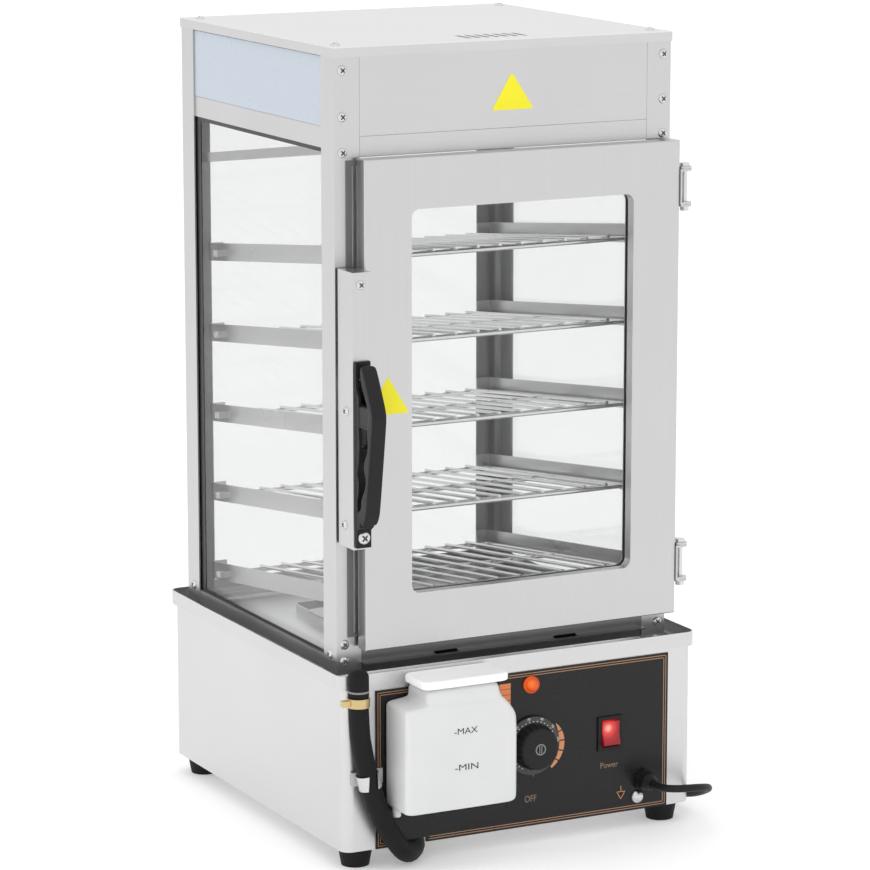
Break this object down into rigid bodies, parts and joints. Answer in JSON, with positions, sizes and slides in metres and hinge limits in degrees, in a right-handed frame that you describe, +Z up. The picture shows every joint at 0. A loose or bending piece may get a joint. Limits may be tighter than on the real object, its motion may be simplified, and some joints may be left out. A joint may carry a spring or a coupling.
{
  "type": "food steamer",
  "caption": "Glass-sided countertop bun steamer: tall stainless display cabinet with wire shelves, hinged front door, water tank and drain hose on a black-panelled boiler base.",
  "frame": {"origin": "centre of the bounding box's bottom, on the surface that the feet stand on, measured without the power cord, its coil and its plug", "axes": "+Z up, front with the door and the controls toward -Y, +X to the right as seen from the front"},
  "size_m": [0.3999, 0.588, 0.7511],
  "materials": {
    "brushed_stainless": "brushed stainless sheet",
    "chromed_wire": "bright plated steel",
    "handle_black": "moulded black nylon",
    "black_panel": "near-black gloss panel with a thin copper border line",
    "black_plastic": "moulded black plastic",
    "black_rubber": "black rubber and cable jacket",
    "clear_glass": "clear tempered glass",
    "light_panel": "pale blue translucent sheet",
    "lamp_white": "white lamp tube and holders",
    "tank_plastic": "milky white plastic",
    "red_lens": "clear red lens",
    "brass": "bare brass",
    "zinc_plate": "zinc-plated steel",
    "hose_plastic": "black flexible hose"
  },
  "bodies": {
    "cabinet": {"corner_posts": "brushed_stainless", "lower_frame": "brushed_stainless", "upper_frame": "brushed_stainless", "header_front": "brushed_stainless", "header_rear": "brushed_stainless", "top_lid": "brushed_stainless", "drip_tray": "brushed_stainless", "inner_ceiling": "brushed_stainless", "steam_plate": "brushed_stainless", "boiler_pan": "brushed_stainless", "base_shell": "brushed_stainless", "base_bottom_plate": "brushed_stainless", "shelf_rails": "brushed_stainless", "latch_strike": "chromed_wire", "hinge_cabinet_brackets": "chromed_wire", "hinge_pins": "chromed_wire", "cabinet_screws": "chromed_wire", "control_panel": "black_panel", "switch_housing": "black_plastic", "thermostat_body": "black_plastic", "power_plug": "black_plastic", "cable_gland": "black_plastic", "rubber_feet": "black_rubber", "glass_seals": "black_rubber", "front_seal_strip": "black_rubber", "power_cord": "black_rubber", "cord_coil": "black_rubber", "glass_left": "clear_glass", "glass_right": "clear_glass", "glass_rear": "clear_glass", "light_panel_left": "light_panel", "light_panel_right": "light_panel", "header_lamp": "lamp_white", "water_tank": "tank_plastic", "pilot_lamp": "red_lens", "earth_bolt": "brass", "hose_clamp": "brass", "boiler_drain": "brass", "water_feed_pipe": "brass", "hose_clip": "zinc_plate", "heating_element": "zinc_plate", "drain_hose": "hose_plastic", "drain_spout": "hose_plastic"},
    "door": {"door_frame": "brushed_stainless", "door_glass": "clear_glass", "door_gasket": "black_rubber", "latch_cover": "brushed_stainless", "handle_base": "handle_black", "hinge_door_brackets": "chromed_wire", "door_screws": "chromed_wire"},
    "latch": {"handle_lever": "handle_black", "latch_hook": "chromed_wire"},
    "knob": {"thermostat_knob": "black_plastic"},
    "rocker": {"switch_rocker": "red_lens"},
    "lid": {"tank_lid": "tank_plastic"},
    "shelf_body_1": {"shelf_1": "chromed_wire"},
    "shelf_body_2": {"shelf_2": "chromed_wire"},
    "shelf_body_3": {"shelf_3": "chromed_wire"},
    "shelf_body_4": {"shelf_4": "chromed_wire"},
    "shelf_body_5": {"shelf_5": "chromed_wire"}
  },
  "joints": [
    {"name": "door_hinge", "type": "hinge", "parent": "cabinet", "child": "door", "pos_m": [0.18175, -0.15088, 0.428], "axis": [0, 0, 1], "range_deg": [0, 165]},
    {"name": "handle_pull", "type": "hinge", "parent": "door", "child": "latch", "pos_m": [-0.16075, -0.15388, 0.425], "axis": [-1, 0, 0], "range_deg": [0, 7], "stiffness_Nm_per_rad": 3},
    {"name": "thermostat_turn", "type": "hinge", "parent": "cabinet", "child": "knob", "pos_m": [0.01175, -0.17087, 0.096], "axis": [0, 1, 0], "range_deg": [0, 270]},
    {"name": "switch_rock", "type": "hinge", "parent": "cabinet", "child": "rocker", "pos_m": [0.09525, -0.16887, 0.097], "axis": [1, 0, 0], "range_deg": [0, 14]},
    {"name": "tank_lid_lift", "type": "slide", "parent": "cabinet", "child": "lid", "axis": [0, 0, 1], "range_m": [0, 0.03]},
    {"name": "shelf_1_slide", "type": "slide", "parent": "cabinet", "child": "shelf_body_1", "axis": [0, -0.9925, 0.1219], "range_m": [0, 0.02]},
    {"name": "shelf_2_slide", "type": "slide", "parent": "cabinet", "child": "shelf_body_2", "axis": [0, -0.9925, 0.1219], "range_m": [0, 0.02]},
    {"name": "shelf_3_slide", "type": "slide", "parent": "cabinet", "child": "shelf_body_3", "axis": [0, -0.9925, 0.1219], "range_m": [0, 0.02]},
    {"name": "shelf_4_slide", "type": "slide", "parent": "cabinet", "child": "shelf_body_4", "axis": [0, -0.9925, 0.1219], "range_m": [0, 0.02]},
    {"name": "shelf_5_slide", "type": "slide", "parent": "cabinet", "child": "shelf_body_5", "axis": [0, -0.9925, 0.1219], "range_m": [0, 0.02]}
  ]
}
